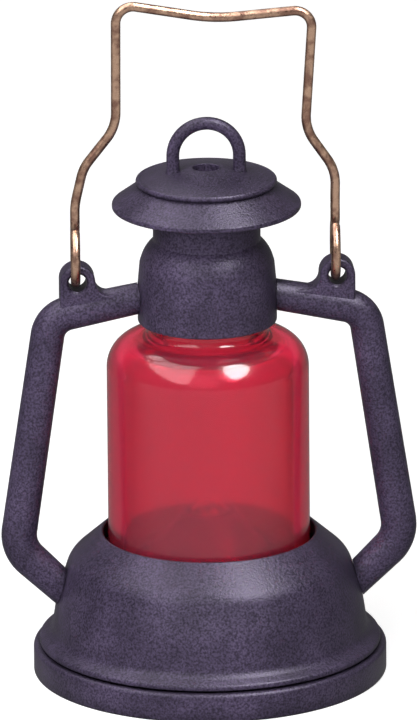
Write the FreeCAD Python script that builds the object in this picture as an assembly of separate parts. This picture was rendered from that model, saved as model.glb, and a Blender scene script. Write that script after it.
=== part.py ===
import FreeCAD, Part
import math
import os

# Miniature hand lantern with a red globe, a capped chimney and a wire bail, lit by a small lamp.
# Millimetres, +Z up. The origin is on the floor under the middle of the foot, and the front faces -Y.

# Fits
seat_gap = 0.05           # between two pieces that are glued or pressed together
running_gap = 0.3         # between pieces that move past each other
contact_gap = 0.15        # between sprung contacts and what they touch
cut_over = 1.0            # how far a cut runs past the face that it opens
tiny = 1e-6               # lengths below this count as none

# Foot cover, which turns as the switch
cover_radius = 24.0
cover_height = 3.95
cover_band = 1.6          # thickness of its outer band
cover_rounding = 0.6
cover_recess = 0.9        # hollow under the floor
cover_floor = 1.4
foot_rim = 2.4            # width of the rim that it stands on
cover_ring_wall = 1.3     # ring that stands up inside the base
cover_ring_height = 5.0
snap_depth = 0.5          # bead that holds the cover in the base
snap_height = 0.7
snap_drop = 1.0           # from the top of the ring to the bead
stop_width = 14.0         # degrees of the stop lug
stop_height = 1.6
stop_slack = 1.0          # degrees of play at each end of the turn
switch_turn = 35.0        # degrees from off to on

# Globe
globe_radius = 13.7
globe_wall = 2.2
globe_height = 31.9       # from its foot to the top of its shoulder
globe_shoulder = 4.4      # rounding of the shoulder
globe_neck_radius = 7.9
globe_neck_wall = 1.6
globe_neck_height = 3.1
globe_neck_rounding = 0.8
globe_foot_rounding = 0.4

# Base shell
seam_gap = 0.25
base_height = 20.0        # edge of the globe's opening
shell_wall = 1.6
globe_gap = 0.7           # round the globe in the opening
shoulder_run = 4.65       # from the opening out to the shoulder
shoulder_rise = 0.45      # from the globe's seat up to the shoulder
shoulder_rounding = 4.0
waist_radius = 20.78
waist_height = 10.6
waist_rounding = 20.0
wall_foot_radius = 21.35
wall_foot_height = 6.7
wall_foot_rounding = 2.2
flange_radius = 22.85
flange_thickness = 0.6
flange_rounding = 0.3
skirt_wall = 1.75
skirt_depth = 1.5         # how far the skirt reaches down inside the cover
boss_radius = 1.3

# Chimney bell
bell_gap = 2.1            # from the globe's shoulder up to the bell
bell_radius = 9.42
bell_wall = 2.2
bell_edge = 0.25
bell_drum_height = 8.3
bell_taper = 0.3          # how much the drum draws in towards its top
bell_taper_height = 3.3
bell_taper_rounding = 6.0
bell_dome_height = 3.1
bell_dome_inset = 0.62    # how far the dome's corner stands in from the crease
bell_dome_drop = 1.15     # from the chimney's foot down to the dome's corner
bell_dome_rounding = 5.0
neck_clearance = 0.3      # round the globe's neck in the bell
chimney_radius = 7.27
chimney_wall = 1.4
chimney_height = 6.1
chimney_fillet = 0.4

# Chimney cap
brim_radius = 12.78
brim_drop = 1.0           # from the seat on the chimney down to the brim's edge
brim_edge = 0.65
brim_top_share = 0.6      # rounding of the brim's upper corner, as a share of its edge
brim_under_share = 0.4    # and of its lower corner
crown_radius = 9.1
crown_foot_rise = 1.65    # from the seat up to the foot of the crown
crown_height = 0.85
crown_dome = 1.45
crown_wall = 1.15
crown_rounding = 0.35
bead_radius = 0.45
vent_radius = 1.8
cap_spigot_wall = 1.1
cap_spigot_length = 3.5

# Carrying loop on the cap
loop_radius = 4.5
loop_bar = 1.75
loop_leg = 2.2            # straight height of its legs above the crown
loop_foot_radius = 1.25
loop_foot_height = 0.9

# Side arms
arm_root_rise = 3.3       # from the bell's lower edge up to the arm's axis
arm_slope = 11.0          # degrees that the upper run falls outwards
arm_elbow_x = 21.3
arm_elbow_bend = 3.6
arm_knee_x = 26.16
arm_knee_bend = 4.9
arm_foot_height = 12.2    # where the axis meets the wall of the base
arm_foot_angle = 44.3     # degrees that the lower run falls inwards
arm_root_diameter = 4.2
arm_elbow_diameter = 4.6
arm_knee_diameter = 4.85
arm_foot_diameter = 4.4
spigot_diameter = 3.0
spigot_length = 2.0

# Bail ears on the arms
ear_x = 17.6
ear_rise = 4.4            # from the arm's axis up to the ear's hole
ear_radius = 2.4
ear_hole_radius = 1.25
ear_hole_chamfer = 0.3
ear_thickness = 3.6
ear_fillet = 1.75
ear_edge = 0.45

# Wire bail
wire_diameter = 1.3
hook_radius = 3.6
hook_drop = 0.2           # how far the hook hangs below the middle of the ear's hole
hook_neck_radius = 2.0
hook_twist = 3.0          # degrees that the hooks are turned about their legs
hook_end_angle = 108.0    # degrees round the hook to its free end
bail_shift = -0.2         # how far its play lets the bail hang to the left in the ears
leg_height = 7.2          # heights are above the hinge line
leg_rounding = 10.0
knee_inset = 0.55
knee_height = 11.7
knee_rounding = 6.0
neck_half_width = 12.8
neck_height = 17.5
top_half_width = 13.3
top_height = 34.5
top_rounding = 2.3
middle_height = 32.8
middle_rounding = 25.0
bail_lean = 2.1           # degrees that the hand-bent bail is set over to the right
bar_tilt = 1.0            # degrees more that its hand bar falls to the right

# Burner deck, burner cone and battery tube
deck_thickness = 1.6
deck_edge_gap = 0.55
globe_ring_width = 0.5
globe_ring_height = 0.8
cone_foot_radius = 9.6
cone_foot_width = 1.2
cone_foot_thickness = 0.7
cone_top_radius = 3.6
cone_height = 7.3
cone_waist_share = 0.35   # height of the cone's bend, as a share of its height
cone_bend_share = 0.25    # and the rounding of that bend
cone_wall = 0.7
tube_flange = 1.4
tube_wall = 1.0
tube_clearance = 0.2
tube_end_gap = 0.6        # from the lowest cell's face up to the tube's end
screw_hole_gap = 0.2

# Button cells
cell_radius = 5.8
cell_height = 5.4
cell_cap_radius = 5.1
cell_cap_height = 0.5

# Lamp and its contacts
contact_head_radius = 1.7
contact_shank_radius = 0.95
contact_head = 0.5
contact_foot_radius = 2.2
contact_foot = 0.4
socket_wall = 0.3
socket_height = 4.0
socket_flange_radius = 5.2
socket_hole_radius = 2.2
bulb_cap_radius = 2.65
bulb_cap_height = 3.2
bulb_insulator_height = 0.9
bulb_tip_radius = 0.9
bulb_tip_height = 0.45
bulb_tip_share = 0.8      # rounding of the solder bead, as a share of its height
bulb_glass_radius = 2.75
bulb_glass_height = 3.7
bulb_glass_wall = 0.35
bulb_dome_share = 0.98    # rounding of the glass dome, as a share of its radius
bulb_hollow_share = 0.8   # and of the hollow inside it
filament_post_radius = 0.15
filament_post_spread = 0.9
filament_height = 1.4
filament_wire_radius = 0.1
strip_thickness = 0.3
strip_width = 3.0
strip_bend = 0.6
strip_foot_length = 7.0
leaf_room = 0.75          # between the cover's floor and the lower cell, for the sprung leaf
leaf_width = 4.0
leaf_rivet_reach = 8.2    # from the middle out to the rivet
leaf_rivet_radius = 0.8
leaf_rivet_head_radius = 1.4
leaf_rivet_head = 0.4

# Deck screws
screw_count = 3
screw_radius = 0.55
screw_head_radius = 1.2
screw_head_height = 0.9
screw_bite = 1.9          # length in the boss

# Levels
floor_top = cover_recess + cover_floor
shell_bottom = cover_height + seam_gap
skirt_bottom = shell_bottom - skirt_depth
cell_bottom = floor_top + leaf_room
deck_bottom = cell_bottom + 2 * cell_height + seat_gap
deck_top = deck_bottom + deck_thickness
flange_bottom = deck_bottom - tube_flange
cover_ring_top = floor_top + cover_ring_height
pad_height = cell_bottom + tube_end_gap + 2 * strip_thickness
contact_top = deck_top + contact_head
tip_bottom = contact_top + seat_gap
insulator_bottom = tip_bottom + bulb_tip_height
bulb_cap_bottom = insulator_bottom + bulb_insulator_height
glass_bottom = bulb_cap_bottom + bulb_cap_height
globe_top = deck_top + globe_height
bell_bottom = globe_top + bell_gap
bell_crease = bell_bottom + bell_drum_height
chimney_foot = bell_crease + bell_dome_height
chimney_top = chimney_foot + chimney_height
cap_seat = chimney_top + seat_gap
crown_foot = cap_seat + crown_foot_rise
crown_edge = crown_foot + crown_height
crown_top = crown_edge + crown_dome

# Radii that follow from the fits
opening_radius = globe_radius + globe_gap
shoulder_radius = opening_radius + shoulder_run
shoulder_height = deck_top + shoulder_rise
skirt_radius = wall_foot_radius - skirt_wall
cover_ring_radius = skirt_radius - running_gap
deck_radius = shoulder_radius - shell_wall - deck_edge_gap
screw_circle = deck_radius - boss_radius - screw_hole_gap
tube_radius = cell_radius + tube_clearance
chimney_bore = chimney_radius - chimney_wall
wire_radius = wire_diameter / 2
socket_radius = bulb_cap_radius + seat_gap

# Arm axis: root on the bell, elbow, knee and foot on the base wall
wall_lean = (waist_radius - shoulder_radius) / (shoulder_height - waist_height)
foot_wall_radius = waist_radius - wall_lean * (arm_foot_height - waist_height)
arm_fall = math.tan(math.radians(arm_slope))
arm_root_height = bell_bottom + arm_root_rise
arm_elbow_height = arm_root_height - arm_fall * (arm_elbow_x - bell_radius)
arm_rise = math.tan(math.radians(arm_foot_angle))
arm_knee_height = arm_foot_height + arm_rise * (arm_knee_x - foot_wall_radius)
arm_root = FreeCAD.Vector(bell_radius, 0, arm_root_height)
arm_elbow = FreeCAD.Vector(arm_elbow_x, 0, arm_elbow_height)
arm_knee = FreeCAD.Vector(arm_knee_x, 0, arm_knee_height)
arm_foot = FreeCAD.Vector(foot_wall_radius, 0, arm_foot_height)

# Bail hinge line, through the middle of both hooks
ear_height = arm_root_height - arm_fall * (ear_x - bell_radius) + ear_rise
hinge_height = ear_height + hook_radius - hook_drop
hook_rise = math.sqrt((hook_radius + hook_neck_radius) ** 2 - hook_neck_radius ** 2)

up = FreeCAD.Vector(0, 0, 1)
middle = FreeCAD.Vector(0, 0, 0)


def corner(across, height, rounding=0.0):
    """A corner of an outline in the XZ plane, with the radius that rounds it."""
    return FreeCAD.Vector(across, 0, height), rounding


def turn_at(before, point, after, radius):
    """Start, middle and end of the arc that rounds a corner."""
    back = (before - point).normalize()
    ahead = (after - point).normalize()
    half = back.getAngle(ahead) / 2
    reach = radius / math.tan(half)
    inward = (back + ahead).normalize()
    nearest = point + inward * (radius / math.sin(half) - radius)
    return point + back * reach, nearest, point + ahead * reach


def rounded_edges(corners, closed=False):
    """Straight runs from corner to corner, joined by tangent arcs."""
    count = len(corners)
    turns = []
    for i, (point, radius) in enumerate(corners):
        if radius and (closed or 0 < i < count - 1):
            before = corners[i - 1][0]
            after = corners[(i + 1) % count][0]
            turns.append(turn_at(before, point, after, radius))
        else:
            turns.append((point, point, point))
    edges = []
    for i, (start, nearest, end) in enumerate(turns):
        if not start.isEqual(end, tiny):
            edges.append(Part.Arc(start, nearest, end).toShape())
        following = turns[(i + 1) % count][0]
        if (closed or i < count - 1) and not end.isEqual(following, tiny):
            edges.append(Part.LineSegment(end, following).toShape())
    return edges


def left_of(start, end):
    """Unit vector to the left of a run in the XZ plane."""
    run = end - start
    return FreeCAD.Vector(-run.z, 0, run.x).normalize()


def beside(corners, distance):
    """The same open path, moved to its left by a distance."""
    points = [point for point, _ in corners]
    last = len(points) - 1
    moved = []
    for i, (point, rounding) in enumerate(corners):
        before = left_of(points[max(i - 1, 0)], points[max(i, 1)])
        after = left_of(points[min(i, last - 1)], points[min(i + 1, last)])
        step = (before + after) * (distance / (1 + before.dot(after)))
        turns_left = before.x * after.z - before.z * after.x > 0
        change = -distance if turns_left else distance
        moved.append((point + step, max(rounding + change, 0.0) if rounding else 0.0))
    return moved


def turned(corners):
    """Solid of revolution about Z of a closed outline."""
    outline = Part.Wire(rounded_edges(corners, closed=True))
    return Part.Face(outline).revolve(middle, up, 360)


def plate(corners, thickness):
    """Flat piece with a closed outline in the XZ plane, centred on it."""
    outline = Part.Face(Part.Wire(rounded_edges(corners, closed=True)))
    outline.translate(FreeCAD.Vector(0, -thickness / 2, 0))
    return outline.extrude(FreeCAD.Vector(0, thickness, 0))


def strip(corners, thickness, width):
    """Bent metal strip: a path in the XZ plane with its thickness to the left."""
    return plate(corners + beside(corners, thickness)[::-1], width)


def rod(start, end, start_radius, end_radius):
    """Straight round bar, tapered where its two radii differ."""
    run = end - start
    if abs(start_radius - end_radius) < tiny:
        return Part.makeCylinder(start_radius, run.Length, start, run)
    return Part.makeCone(start_radius, end_radius, run.Length, start, run)


def swept(edges, radius):
    """Round bar whose axis follows the edges."""
    first = edges[0]
    start = first.valueAt(first.FirstParameter)
    along = first.tangentAt(first.FirstParameter)
    section = Part.Wire(Part.makeCircle(radius, start, along))
    return Part.Wire(edges).makePipeShell([section], True, False)


def drum(radius, bottom, top):
    """Plain cylinder on the Z axis."""
    return Part.makeCylinder(radius, top - bottom, FreeCAD.Vector(0, 0, bottom))


def turn_about_axis(shape, degrees):
    """Copy of a shape, turned about Z."""
    copy = shape.copy()
    copy.rotate(middle, up, degrees)
    return copy


def to_left(shape):
    """Mirror image of a shape on the other side."""
    return shape.mirror(middle, FreeCAD.Vector(1, 0, 0))


def arc_block(inner, outer, bottom, top, first, last):
    """Ring segment between two angles in degrees."""
    outline = [corner(inner, bottom), corner(outer, bottom), corner(outer, top), corner(inner, top)]
    face = Part.Face(Part.Wire(rounded_edges(outline, closed=True)))
    return turn_about_axis(face.revolve(middle, up, last - first), first)


def screw_places():
    """Angles of the deck screws, clear of the arms and of the return strip."""
    return [90 + i * 360 / screw_count for i in range(screw_count)]


# Foot and base

def make_base_cover():
    """Foot dish with a standing rim, and a ring with a snap bead that turns inside the base."""
    outer = cover_ring_radius
    ring_top = cover_ring_top
    bead_top = ring_top - snap_drop
    bead_bottom = bead_top - snap_height
    dish = turned([
        corner(0, cover_recess),
        corner(cover_radius - foot_rim, cover_recess, cover_recess / 3),
        corner(cover_radius - foot_rim, 0),
        corner(cover_radius, 0, cover_rounding / 2),
        corner(cover_radius, cover_height, cover_rounding),
        corner(cover_radius - cover_band, cover_height),
        corner(cover_radius - cover_band, floor_top),
        corner(outer, floor_top),
        corner(outer, bead_bottom),
        corner(outer + snap_depth, bead_bottom + snap_height / 3),
        corner(outer + snap_depth, bead_top - snap_height / 3),
        corner(outer, bead_top),
        corner(outer, ring_top),
        corner(outer - cover_ring_wall, ring_top),
        corner(outer - cover_ring_wall, floor_top),
        corner(0, floor_top),
    ])
    lug = arc_block(outer - cover_ring_wall, outer - running_gap, ring_top - snap_drop,
                    ring_top + stop_height, -stop_width / 2, stop_width / 2)
    rivet_hole = drum(leaf_rivet_radius + seat_gap, 0, floor_top + cut_over)
    rivet_hole.translate(FreeCAD.Vector(leaf_rivet_reach, 0, 0))
    return dish.fuse(lug).cut(turn_about_axis(rivet_hole, -90 - switch_turn)).removeSplitter()


def wall_path():
    """Outside of the base, from the foot of its wall up to the opening."""
    return [
        corner(wall_foot_radius, wall_foot_height, wall_foot_rounding),
        corner(waist_radius, waist_height, waist_rounding),
        corner(shoulder_radius, shoulder_height, shoulder_rounding),
        corner(opening_radius, base_height),
    ]


def base_outside(gap):
    """Full solid of the base's outside, grown by a gap, for trimming what seats on it."""
    path = [(point + FreeCAD.Vector(gap, 0, 0), rounding) for point, rounding in wall_path()]
    foot = corner(flange_radius + gap, shell_bottom)
    return turned([corner(0, shell_bottom), foot] + path + [corner(0, base_height)])


def arm_sockets(start, end):
    """Holes for the spigots of both arms."""
    hole = rod(start, end, spigot_diameter / 2 + seat_gap, spigot_diameter / 2 + seat_gap)
    return [hole, to_left(hole)]


def make_base_shell():
    """Bell-shaped base: flange, drawn-in wall, rounded shoulder and globe opening."""
    groove_top = cover_ring_top - snap_drop + running_gap
    groove_bottom = groove_top - snap_height - 2 * running_gap
    groove_radius = cover_ring_radius + snap_depth + running_gap
    skirt_outside = cover_radius - cover_band - running_gap
    inner = beside(wall_path(), shell_wall)
    shell = turned([
        corner(skirt_radius, skirt_bottom),
        corner(skirt_outside, skirt_bottom),
        corner(skirt_outside, shell_bottom),
        corner(flange_radius, shell_bottom, flange_rounding / 2),
        corner(flange_radius, shell_bottom + flange_thickness, flange_rounding),
    ] + wall_path() + inner[:0:-1] + [
        corner(skirt_radius, wall_foot_height + skirt_wall),
        corner(skirt_radius, groove_top),
        corner(groove_radius, groove_top),
        corner(groove_radius, groove_bottom),
        corner(skirt_radius, groove_bottom),
    ])
    post_top = base_height - shell_wall
    post = rod(FreeCAD.Vector(screw_circle, 0, deck_top), FreeCAD.Vector(screw_circle, 0, post_top),
               boss_radius, boss_radius)
    pilot = rod(FreeCAD.Vector(screw_circle, 0, deck_top),
                FreeCAD.Vector(screw_circle, 0, deck_top + screw_bite + seat_gap),
                screw_radius + seat_gap, screw_radius + seat_gap)
    inside = base_outside(-shell_wall / 2)
    posts = [turn_about_axis(post, angle).common(inside) for angle in screw_places()]
    pilots = [turn_about_axis(pilot, angle) for angle in screw_places()]
    stop_bottom = cover_ring_top + running_gap
    last_stop = switch_turn + stop_width / 2 + stop_slack
    stops = []
    for first in (-stop_width - stop_slack, last_stop):
        stop = arc_block(skirt_radius - cover_ring_wall, skirt_radius + shell_wall / 2,
                         stop_bottom, cover_ring_top + stop_height, first, first + stop_width / 2)
        stops.append(stop.common(inside))
    opening = drum(opening_radius, deck_top, base_height + cut_over)
    inward = (arm_foot - arm_knee).normalize()
    sockets = arm_sockets(arm_foot - inward * spigot_length, arm_foot + inward * 2 * spigot_length)
    return shell.cut(opening).fuse(posts + stops).cut(pilots + sockets).removeSplitter()


# Globe and chimney

def make_globe():
    """Clear cylinder with a rounded shoulder and a short neck."""
    bore = globe_radius - globe_wall
    neck_top = globe_top + globe_neck_height
    neck_bore = globe_neck_radius - globe_neck_wall
    return turned([
        corner(bore, deck_top),
        corner(globe_radius, deck_top, globe_foot_rounding),
        corner(globe_radius, globe_top, globe_shoulder),
        corner(globe_neck_radius, globe_top, globe_neck_rounding),
        corner(globe_neck_radius, neck_top, globe_neck_wall / 4),
        corner(neck_bore, neck_top),
        corner(neck_bore, globe_top - globe_wall),
        corner(bore, globe_top - globe_wall, globe_shoulder - globe_wall),
    ])


def make_chimney_bell():
    """Drum with a drawn-in top, a domed shoulder and the chimney neck."""
    socket = globe_neck_radius + neck_clearance
    socket_top = globe_top + globe_neck_height + neck_clearance
    crease_radius = bell_radius - bell_taper
    bore = bell_radius - bell_wall
    bell = turned([
        corner(socket, bell_bottom),
        corner(bell_radius, bell_bottom, bell_edge),
        corner(bell_radius, bell_crease - bell_taper_height, bell_taper_rounding),
        corner(crease_radius, bell_crease),
        corner(crease_radius - bell_dome_inset, chimney_foot - bell_dome_drop, bell_dome_rounding),
        corner(chimney_radius, chimney_foot, chimney_fillet),
        corner(chimney_radius, chimney_top),
        corner(chimney_bore, chimney_top),
        corner(chimney_bore, bell_crease),
        corner(bore, bell_crease - bell_taper_height),
        corner(bore, socket_top),
        corner(socket, socket_top),
    ])
    inward = (arm_root - arm_elbow).normalize()
    sockets = arm_sockets(arm_root - inward * spigot_length, arm_root + inward * 2 * spigot_length)
    return bell.cut(sockets)


def make_chimney_cap():
    """Brimmed cap with a beaded crown, a vent hole, a spigot and the carrying loop in one piece."""
    spigot = chimney_bore - seat_gap
    spigot_bore = spigot - cap_spigot_wall
    brim_height = cap_seat - brim_drop
    cap = turned([
        corner(vent_radius, crown_top),
        corner(crown_radius, crown_edge, crown_rounding),
        corner(crown_radius, crown_foot, crown_rounding),
        corner(brim_radius, brim_height, brim_edge * brim_top_share),
        corner(brim_radius, brim_height - brim_edge, brim_edge * brim_under_share),
        corner(brim_radius - brim_edge, brim_height - brim_edge),
        corner(crown_radius, cap_seat),
        corner(spigot, cap_seat),
        corner(spigot, cap_seat - cap_spigot_length),
        corner(spigot_bore, cap_seat - cap_spigot_length),
        corner(spigot_bore, crown_edge - crown_wall / 2),
        corner(vent_radius, crown_top - crown_wall),
    ])
    bead = Part.makeTorus(crown_radius, bead_radius, FreeCAD.Vector(0, 0, crown_foot + bead_radius))
    crown_slope = (crown_top - crown_edge) / (crown_radius - vent_radius)
    root = crown_top - crown_slope * (loop_radius - vent_radius)
    spring = root + loop_leg
    loop = swept(rounded_edges([
        corner(-loop_radius, root - crown_wall / 2),
        corner(-loop_radius, spring + loop_radius, loop_radius),
        corner(loop_radius, spring + loop_radius, loop_radius),
        corner(loop_radius, root - crown_wall / 2),
    ]), loop_bar / 2)
    foot = rod(FreeCAD.Vector(loop_radius, 0, root - crown_wall / 2),
               FreeCAD.Vector(loop_radius, 0, root + loop_foot_height), loop_foot_radius, loop_bar / 2)
    return cap.fuse([bead, loop, foot, to_left(foot)]).removeSplitter()


# Side arms and bail

def make_right_side_arm():
    """Bent side tube with tapered runs, a spigot at each end and an ear for the bail."""
    elbow_start, elbow_mid, elbow_end = turn_at(arm_root, arm_elbow, arm_knee, arm_elbow_bend)
    knee_start, knee_mid, knee_end = turn_at(arm_elbow, arm_knee, arm_foot, arm_knee_bend)
    into_bell = (arm_root - arm_elbow).normalize()
    into_base = (arm_foot - arm_knee).normalize()
    root_radius = arm_root_diameter / 2
    elbow_radius = arm_elbow_diameter / 2
    knee_radius = arm_knee_diameter / 2
    foot_radius = arm_foot_diameter / 2
    runs = [
        rod(arm_root + into_bell * root_radius, elbow_start, root_radius, elbow_radius),
        swept([Part.Arc(elbow_start, elbow_mid, elbow_end).toShape()], elbow_radius),
        rod(elbow_end, knee_start, elbow_radius, knee_radius),
        swept([Part.Arc(knee_start, knee_mid, knee_end).toShape()], knee_radius),
        rod(knee_end, arm_foot + into_base * foot_radius, knee_radius, foot_radius),
    ]
    axis_height = ear_height - ear_rise
    ear_inner = ear_x - ear_radius
    fillet_foot = ear_height - ear_fillet
    ear = plate([
        corner(ear_inner - 2 * ear_fillet, axis_height),
        corner(ear_inner - 2 * ear_fillet, fillet_foot),
        corner(ear_inner, fillet_foot, ear_fillet),
        corner(ear_inner, ear_height + ear_radius, ear_radius),
        corner(ear_x + ear_radius, ear_height + ear_radius, ear_radius),
        corner(ear_x + ear_radius, axis_height),
    ], ear_thickness)
    rims = [edge for edge in ear.Edges
            if edge.BoundBox.YLength < tiny and edge.BoundBox.ZMin > fillet_foot - tiny
            and edge.BoundBox.ZLength > ear_fillet / 2]
    ear = ear.makeFillet(ear_edge, rims)
    ear_axis = FreeCAD.Vector(0, 1, 0)
    ear_middle = FreeCAD.Vector(ear_x, 0, ear_height)
    hole = Part.makeCylinder(ear_hole_radius, 2 * ear_thickness,
                             ear_middle - ear_axis * ear_thickness, ear_axis)
    mouth = ear_thickness / 2 - ear_hole_chamfer
    wide = ear_hole_radius + 2 * ear_hole_chamfer
    chamfers = [rod(ear_middle + ear_axis * side * mouth,
                    ear_middle + ear_axis * side * (mouth + 2 * ear_hole_chamfer), ear_hole_radius, wide)
                for side in (-1, 1)]
    bell_side = drum(bell_radius + seat_gap, bell_bottom - bell_gap, chimney_top)
    arm = runs[0].fuse(runs[1:] + [ear]).cut(chamfers + [hole, bell_side, base_outside(seat_gap)])
    spigot_radius = spigot_diameter / 2
    spigots = [
        rod(arm_root - into_bell * spigot_length, arm_root + into_bell * spigot_length,
            spigot_radius, spigot_radius),
        rod(arm_foot - into_base * spigot_length, arm_foot + into_base * spigot_length,
            spigot_radius, spigot_radius),
    ]
    return arm.fuse(spigots).removeSplitter()


def hook_edges(x):
    """Wire of one hook, from its leg round through the ear to its free end; the left one runs back."""
    twist = math.radians(hook_twist)
    back = FreeCAD.Vector(math.sin(twist), math.cos(twist), 0)
    join = math.degrees(math.atan2(hook_rise, hook_neck_radius))
    free_end = hook_end_angle - 360

    def spot(along, height, radius, degrees):
        angle = math.radians(degrees)
        centre = FreeCAD.Vector(x, 0, hinge_height + height) + back * along
        return centre + back * (radius * math.cos(angle)) + up * (radius * math.sin(angle))

    points = [spot(hook_neck_radius, hook_rise, hook_neck_radius, 180 + join * share) for share in (0, 0.5)]
    for angle in (join, (join - 90) / 2, -90, (free_end - 90) / 2, free_end):
        points.append(spot(0, 0, hook_radius, angle))
    if x < 0:
        points.reverse()
    return [Part.Arc(*points[i:i + 3]).toShape() for i in (0, 2, 4)]


def leaned(x, height, rounding):
    """A corner of the bail, given above the hinge line and set over by its lean."""
    lean = math.radians(bail_lean)
    across = x * math.cos(lean) + height * math.sin(lean)
    return corner(across, hinge_height + height * math.cos(lean) - x * math.sin(lean), rounding)


def make_bail():
    """Bent wire: hook, leg, drawn-in neck and top corner on each side, with a dipped hand bar."""
    bar_fall = top_half_width * math.tan(math.radians(bar_tilt))
    sides = []
    for side in (-1, 1):
        sides.append([
            corner(side * ear_x + bail_shift, hinge_height + hook_rise),
            corner(side * ear_x + bail_shift, hinge_height + leg_height, leg_rounding),
            leaned(side * (ear_x - knee_inset), knee_height, knee_rounding),
            leaned(side * neck_half_width, neck_height, knee_rounding),
            leaned(side * top_half_width, top_height - side * bar_fall, top_rounding),
        ])
    dip = leaned(0, middle_height, middle_rounding)
    bent = rounded_edges(sides[0] + [dip] + sides[1][::-1])
    hooks = [hook_edges(side * ear_x + bail_shift) for side in (-1, 1)]
    return swept(hooks[0] + bent + hooks[1], wire_radius)


# Burner deck, burner cone and battery tube

def strip_slot():
    """Way for the return strip through the deck and the tube's flange, at the front."""
    reach = tube_radius + tube_wall + seat_gap
    slot = Part.makeBox(strip_thickness + 2 * running_gap, strip_width + running_gap, cone_height)
    slot.translate(FreeCAD.Vector(reach, -(strip_width + running_gap) / 2, flange_bottom - running_gap))
    return turn_about_axis(slot, -90)


def screw_holes():
    """Clearance holes for the deck screws."""
    hole = drum(screw_radius + screw_hole_gap, flange_bottom - cut_over, deck_top + cut_over)
    hole.translate(FreeCAD.Vector(screw_circle, 0, 0))
    return [turn_about_axis(hole, angle) for angle in screw_places()]


def make_burner_deck():
    """Plate that closes the base, with a ring that centres the globe and a seat for the contact."""
    ring_radius = globe_radius - globe_wall - running_gap
    deck = turned([
        corner(contact_shank_radius + seat_gap, deck_top),
        corner(contact_shank_radius + seat_gap, deck_bottom + contact_foot),
        corner(contact_foot_radius + seat_gap, deck_bottom + contact_foot),
        corner(contact_foot_radius + seat_gap, deck_bottom),
        corner(deck_radius, deck_bottom),
        corner(deck_radius, deck_top),
        corner(ring_radius, deck_top),
        corner(ring_radius, deck_top + globe_ring_height),
        corner(ring_radius - globe_ring_width, deck_top + globe_ring_height),
        corner(ring_radius - globe_ring_width, deck_top),
    ])
    return deck.cut(screw_holes() + [strip_slot()])


def make_battery_tube():
    """Sleeve for the cells, with a flange that the deck screws clamp under the deck."""
    outer = tube_radius + tube_wall
    tube = turned([
        corner(tube_radius, cell_bottom + tube_end_gap),
        corner(outer, cell_bottom + tube_end_gap),
        corner(outer, flange_bottom, tube_wall / 2),
        corner(deck_radius, flange_bottom),
        corner(deck_radius, deck_bottom),
        corner(tube_radius, deck_bottom),
    ])
    return tube.cut(screw_holes() + [strip_slot()])


def make_burner_cone():
    """Hollow burner cone on a foot ring, open at the top for the lamp."""
    shoulder = cone_foot_radius - cone_foot_width
    outside = [
        corner(cone_foot_radius, deck_top),
        corner(cone_foot_radius, deck_top + cone_foot_thickness, cone_foot_thickness / 3),
        corner(shoulder, deck_top + cone_foot_thickness, cone_foot_thickness),
        corner(shoulder - cone_wall, deck_top + cone_height * cone_waist_share,
               cone_height * cone_bend_share),
        corner(cone_top_radius, deck_top + cone_height),
    ]
    return turned(outside + [
        corner(cone_top_radius - cone_wall, deck_top + cone_height),
        corner(shoulder - 2 * cone_wall, deck_top + cone_height * cone_waist_share),
        corner(shoulder - cone_wall, deck_top),
    ])


# Cells, lamp and contacts

def make_cell(bottom):
    """Button cell: a can over a smaller cap."""
    return turned([
        corner(0, bottom),
        corner(cell_cap_radius, bottom, cell_cap_height / 3),
        corner(cell_cap_radius, bottom + cell_cap_height),
        corner(cell_radius, bottom + cell_cap_height, cell_cap_height / 2),
        corner(cell_radius, bottom + cell_height, cell_cap_height / 2),
        corner(0, bottom + cell_height),
    ])


def make_centre_contact():
    """Rivet through the deck, from the upper cell to the tip of the lamp."""
    return turned([
        corner(0, deck_bottom),
        corner(contact_foot_radius, deck_bottom),
        corner(contact_foot_radius, deck_bottom + contact_foot),
        corner(contact_shank_radius, deck_bottom + contact_foot),
        corner(contact_shank_radius, deck_top),
        corner(contact_head_radius, deck_top),
        corner(contact_head_radius, contact_top, contact_head / 2),
        corner(0, contact_top),
    ])


def make_lamp_socket():
    """Flanged sleeve that holds the lamp's cap."""
    outer = socket_radius + socket_wall
    return turned([
        corner(socket_hole_radius, deck_top),
        corner(socket_flange_radius, deck_top),
        corner(socket_flange_radius, deck_top + socket_wall),
        corner(outer, deck_top + socket_wall, socket_wall),
        corner(outer, deck_top + socket_height),
        corner(socket_radius, deck_top + socket_height),
        corner(socket_radius, deck_top + socket_wall),
        corner(socket_hole_radius, deck_top + socket_wall),
    ])


def make_bulb_tip():
    """Solder bead at the foot of the lamp."""
    return turned([
        corner(0, tip_bottom),
        corner(bulb_tip_radius, tip_bottom, bulb_tip_height * bulb_tip_share),
        corner(bulb_tip_radius, insulator_bottom),
        corner(0, insulator_bottom),
    ])


def make_bulb_insulator():
    """Dark glass cone between the solder bead and the cap."""
    return turned([
        corner(0, insulator_bottom),
        corner(bulb_tip_radius + bulb_glass_wall, insulator_bottom),
        corner(bulb_cap_radius - bulb_glass_wall, bulb_cap_bottom),
        corner(0, bulb_cap_bottom),
    ])


def make_bulb_cap():
    """Screw cap of the lamp, a hollow shell with a closed foot."""
    inner = bulb_cap_radius - bulb_glass_wall
    return turned([
        corner(0, bulb_cap_bottom),
        corner(bulb_cap_radius, bulb_cap_bottom, bulb_glass_wall),
        corner(bulb_cap_radius, glass_bottom, bulb_glass_wall / 2),
        corner(inner, glass_bottom),
        corner(inner, bulb_cap_bottom + bulb_glass_wall),
        corner(0, bulb_cap_bottom + bulb_glass_wall),
    ])


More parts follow.
